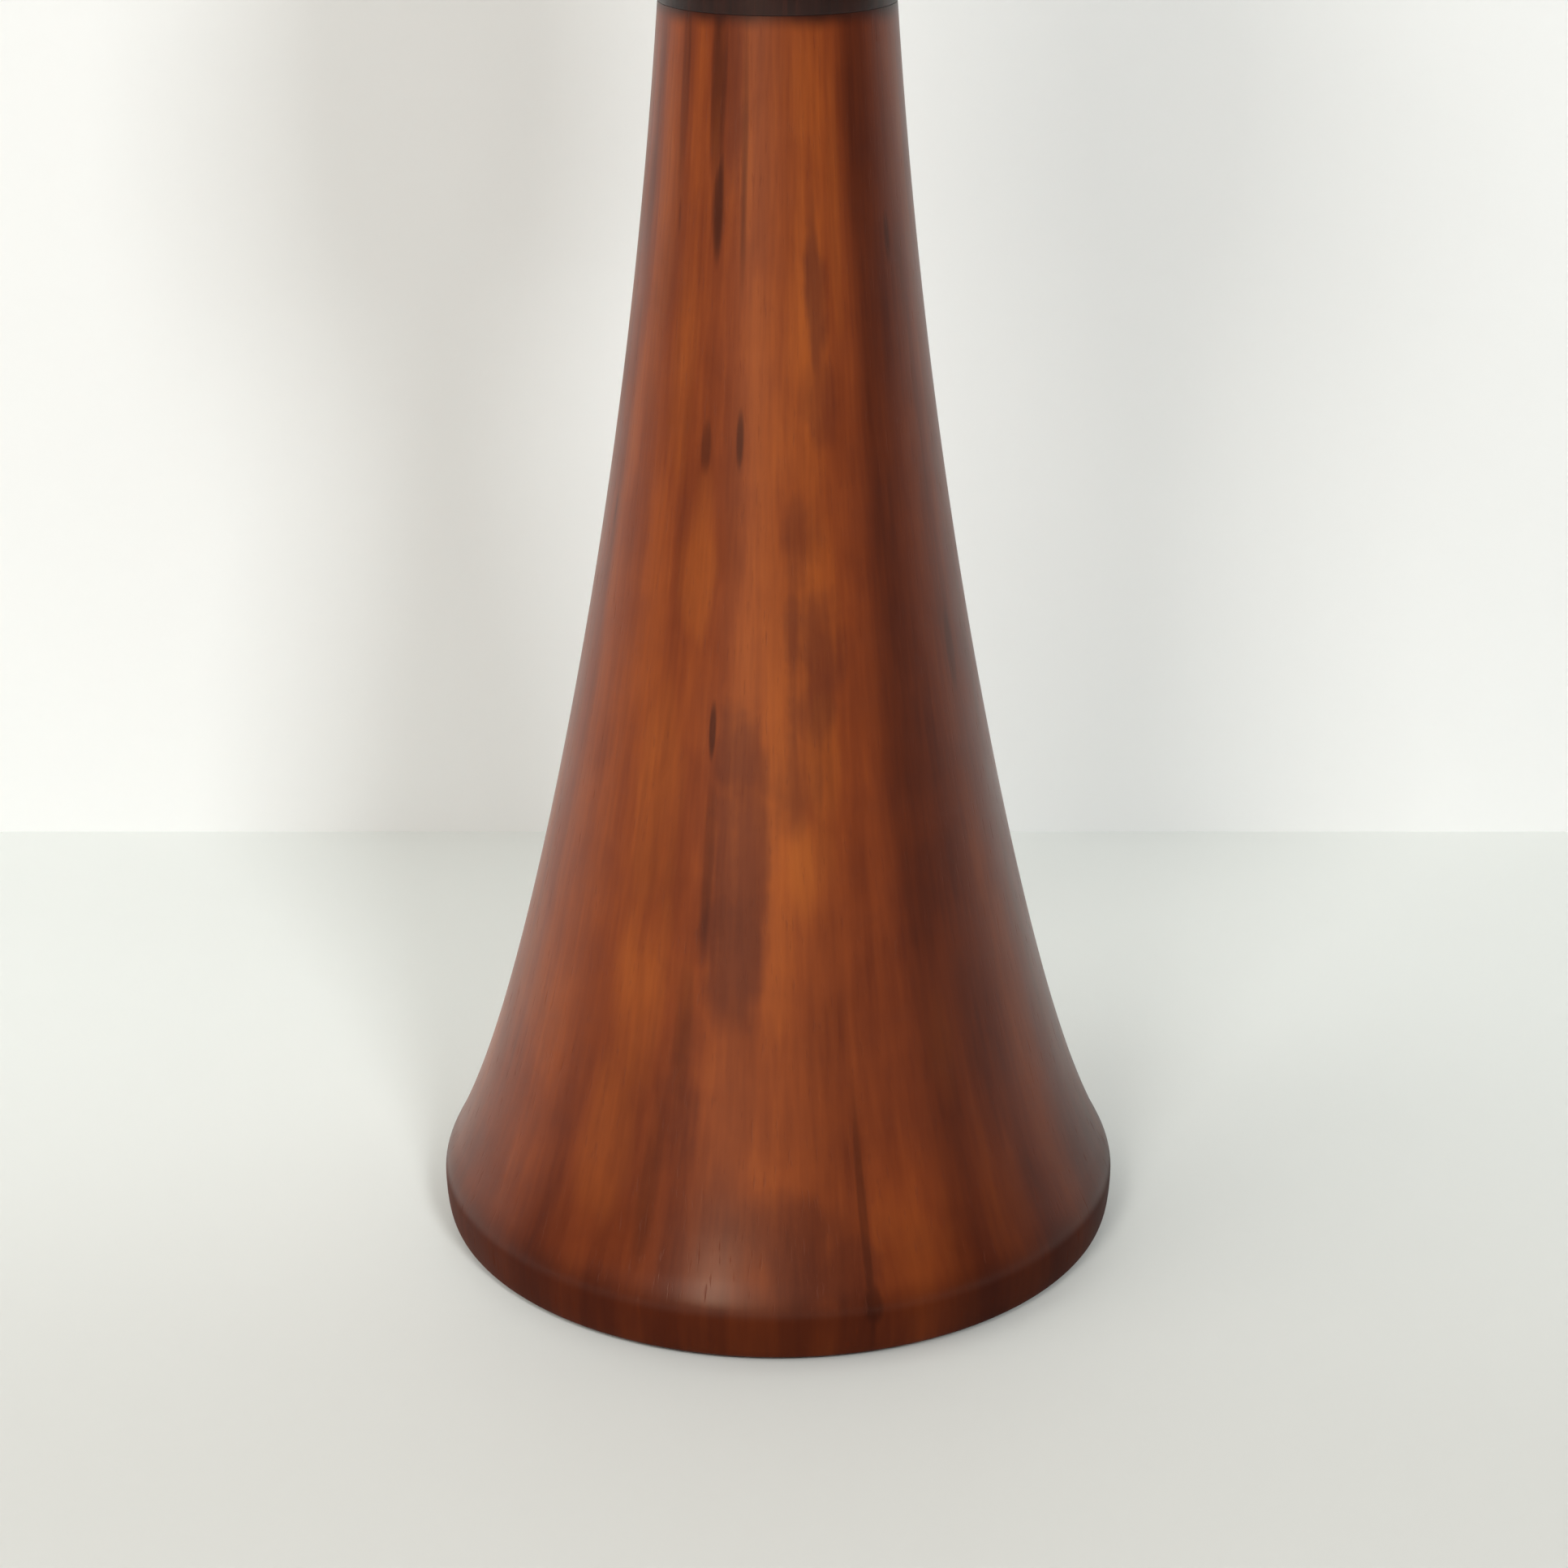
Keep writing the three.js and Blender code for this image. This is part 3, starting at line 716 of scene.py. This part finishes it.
def pedestal():
    """The bell, hollow for the spindle, its nuts, the ballast and the pad, with a spigot for the collar."""
    bore = half_width("spindle") + 0.5 * MM
    recess = BALLAST_RADIUS + 0.5 * MM
    recess_top = top("ballast_ring")
    well = half_width("base_washer") + 1.0 * MM
    well_top = top("base_washer")
    tenon = NECK_RADIUS - 3.6 * MM
    nut = half_width("neck_nut") + FIT_GAP
    nut_bottom = bottom("neck_nut")
    pad_recess = PAD_RADIUS + 0.4 * MM
    inside = [(bore, nut_bottom), (bore, well_top), (well, well_top), (well, recess_top),
              (recess, recess_top), (recess, PAD_TOP), (pad_recess, PAD_TOP), (pad_recess, WOOD_BOTTOM)]
    edge = arc((FOOT_CONTACT_RADIUS, FOOT_EDGE_HEIGHT),
               (FOOT_RADIUS - FOOT_CONTACT_RADIUS, FOOT_EDGE_HEIGHT - WOOD_BOTTOM), -90, 0, 12)
    arris_top = FOOT_EDGE_HEIGHT + 4.0 * MM
    lead = 1.4 * MM
    slope = (flank_radius(arris_top) - flank_radius(arris_top + lead)) / lead
    arris = curve(edge[-1], (FOOT_RADIUS, FOOT_EDGE_HEIGHT + lead),
                  (flank_radius(arris_top) + slope * lead, arris_top - lead),
                  (flank_radius(arris_top), arris_top), 16)
    steps = 90
    heights = [arris_top + (NECK_HEIGHT - arris_top) * (i / steps) for i in range(1, steps + 1)]
    flank = [(flank_radius(z), z) for z in heights]
    spigot = [(tenon, NECK_HEIGHT), (tenon, TENON_TOP), (nut, TENON_TOP), (nut, nut_bottom)]
    return lathe("pedestal_wood", inside + edge + arris[1:] + flank + spigot, 192)


# ------------------------------------------------------------------ collar, washers and pad

def collar():
    """The dark ring, rounded along its top edge."""
    ease = 0.9 * MM
    inner = NECK_RADIUS - 3.5 * MM
    return lathe("collar_ring", eased([
        (inner, NECK_HEIGHT),
        (NECK_RADIUS, NECK_HEIGHT, 0.1 * MM),
        (NECK_RADIUS, COLLAR_TOP, ease),
        (inner, COLLAR_TOP),
    ]), 160)


def washer(name, node, hole):
    ease = 0.15 * MM
    outer = half_width(node)
    low, high = bottom(node), top(node)
    corners = [(hole, low), (outer, low, ease), (outer, high, ease), (hole, high)]
    return lathe(name, eased(corners, 3), 96)


def pad(name, node, segments):
    """A felt disc with soft edges."""
    radius = half_width(node)
    low, high = bottom(node), top(node)
    corners = [(0, low), (radius, low, FELT_EASE), (radius, high, FELT_EASE), (0, high)]
    return lathe(name, eased(corners, 4), segments, centre(node))


# ------------------------------------------------------------------ head

def head_blank():
    """The bulb before its sockets are cut, recessed at both ends for the bushes' flanges."""
    barrel = BUSH_FLANGE_RADIUS - 2.0 * MM
    bore = barrel + FIT_GAP
    flange = BUSH_FLANGE_RADIUS + FIT_GAP
    flange_depth = 0.8 * MM
    height = CROWN - HEAD_BOTTOM
    foot = 10.9 * MM
    crown = 16.8 * MM
    lip = (foot + 0.7 * MM, HEAD_BOTTOM + 0.5 * MM)
    widest = (HEAD_RADIUS, HEAD_BOTTOM + 0.57 * height)
    brim = (HEAD_RADIUS - 1.6 * MM, CROWN - 3.5 * MM)
    bowl = curve(lip, (16 * MM, lip[1] + 1.2 * MM), (HEAD_RADIUS, widest[1] - 15 * MM), widest, 40)
    shoulder = curve(widest, (HEAD_RADIUS, widest[1] + 7 * MM), (20.8 * MM, brim[1] - 6 * MM), brim, 24)
    rounding = curve(brim, (19.1 * MM, CROWN - 1.2 * MM), (18.2 * MM, CROWN), (crown, CROWN), 12)
    outline = [(bore, HEAD_BOTTOM + flange_depth), (flange, HEAD_BOTTOM + flange_depth),
               (flange, HEAD_BOTTOM), (foot, HEAD_BOTTOM)]
    outline += bowl + shoulder[1:] + rounding[1:]
    outline += [(flange, CROWN), (flange, CROWN - flange_depth), (bore, CROWN - flange_depth)]
    return lathe("head_bulb", outline, 192)


def socket_cutter(at):
    """Each cutter is turned to face out from the axis, and half a step more, so that none of its corners
    falls on one of the blank's seams."""
    seat = FERRULE_LIP_RADIUS - 0.4 * MM
    above = CROWN + 1 * MM
    outline = [(0, SOCKET_BOTTOM), (SOCKET_RADIUS, SOCKET_BOTTOM), (SOCKET_RADIUS, FERRULE_BOTTOM),
               (seat, FERRULE_BOTTOM), (seat, above), (0, above)]
    segments = 64
    start = math.atan2(at[1], at[0]) + math.pi / segments
    return lathe("socket_cutter", outline, segments, at, start)


def ferrule(index):
    """A brass lining with a rolled lip that rests on the crown."""
    node = f"socket_ferrule_{index}"
    outer = FERRULE_LIP_RADIUS - 0.5 * MM
    inner = SOCKET_RADIUS
    lip = FERRULE_TOP - CROWN
    roll = curve((FERRULE_LIP_RADIUS, CROWN), (FERRULE_LIP_RADIUS, CROWN + 1.25 * lip),
                 (inner + 0.05 * MM, CROWN + 1.35 * lip), (inner, CROWN + 0.1 * lip), 12)
    peak = max(height for _, height in roll)
    roll = [(radius, CROWN + (height - CROWN) * lip / (peak - CROWN)) for radius, height in roll]
    outline = [(inner, FERRULE_BOTTOM), (outer, FERRULE_BOTTOM), (outer, CROWN)] + roll
    return lathe(f"ferrule_{index}", outline, 72, centre(node))


# ------------------------------------------------------------------ finial

def finial():
    """A drop knob on a small base bead."""
    hole = half_width("finial_insert") + FIT_GAP
    hole_top = top("finial_insert") + 0.5 * MM
    base = 5.0 * MM
    waist = 4.4 * MM
    waist_height = FINIAL_BOTTOM + 2.8 * MM
    belly = FINIAL_TOP - FINIAL_RADIUS
    bead = arc((base - 0.6 * MM, FINIAL_BOTTOM + 0.8 * MM), (0.6 * MM, 0.8 * MM), -90, 90, 10)
    cove = curve((base - 0.6 * MM, FINIAL_BOTTOM + 1.6 * MM), (waist - 0.5 * MM, FINIAL_BOTTOM + 1.8 * MM),
                 (waist - 0.1 * MM, waist_height - 0.6 * MM), (waist, waist_height), 8)
    flare = curve((waist, waist_height), (waist, waist_height + 2 * MM),
                  (FINIAL_RADIUS, belly - 4 * MM), (FINIAL_RADIUS, belly), 22)
    dome = arc((0, belly), (FINIAL_RADIUS, FINIAL_RADIUS), 0, 90, 20)
    outline = [(0, hole_top), (hole, hole_top), (hole, FINIAL_BOTTOM)]
    outline += bead + cove[1:] + flare[1:] + dome[1:-1] + [(0, FINIAL_TOP)]
    return lathe("finial_knob", outline, 96)


# ------------------------------------------------------------------ put it together

make_camera()
make_stage()
make_world()
make_lights()
scene = bpy.context.scene
scene.view_settings.view_transform = "Standard"
scene.view_settings.look = "None"

cherry_pedestal = cherry("cherry_pedestal", flared=0.8, marks_and_painted_light=True, stain_and_shade_from=NECK_HEIGHT)
cherry_head = cherry("cherry_head", seed=1.7)
dark_wood = black_wood()
brass = metal("aged_brass", srgb(206, 168, 96), srgb(166, 126, 66), 0.2, 0.38)
steel = metal("turned_steel", srgb(190, 190, 188), srgb(130, 128, 124), 0.25, 0.4, (0.3, 0.3, 3.0))
iron = metal("cast_iron", srgb(70, 70, 72), srgb(44, 40, 38), 0.5, 0.75, (1.2, 1.2, 1.2), 0.6)
felt = baize()

fit(pedestal(), "stand", "cherry_wood", cherry_pedestal, "pedestal")
fit(collar(), "stand", "black_wood", dark_wood, "collar")
washer_hole = half_width("spindle") + 0.2 * MM
fit(washer("thrust_ring", "thrust_washer", washer_hole), "stand", "brass", brass, "thrust_washer")
fit(washer("crown_ring", "crown_washer", washer_hole), "stand", "brass", brass, "crown_washer")
foot_felt = pad("foot_felt", "foot_pad", 128)
fit(foot_felt, "stand", "baize", felt, "foot_pad")
fit(finial(), "stand", "black_wood", dark_wood, "finial")

numbers = range(1, SOCKETS + 1)
bulb = head_blank()
subtract(bulb, [socket_cutter(centre(f"socket_ferrule_{i}")) for i in numbers])
fit(bulb, "turret", "cherry_wood", cherry_head, "head")
for i in numbers:
    fit(ferrule(i), "turret", "brass", brass, f"socket_ferrule_{i}")
    cushion = pad(f"socket_felt_{i}", f"socket_cushion_{i}", 64)
    fit(cushion, "turret", "baize", felt, f"socket_cushion_{i}")

# The pieces inside keep their CAD meshes.
inner_pieces = {"spindle": steel, "base_nut": steel, "base_washer": steel, "neck_nut": brass,
                "lower_bush": brass, "upper_bush": brass, "finial_insert": brass, "ballast_ring": iron}
inner_pieces.update({f"ballast_screw_{i}": steel for i in range(1, SCREWS + 1)})
for node, material in inner_pieces.items():
    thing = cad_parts[node]
    for material_slot in thing.material_slots:
        material_slot.material = material
    smooth(thing.data)
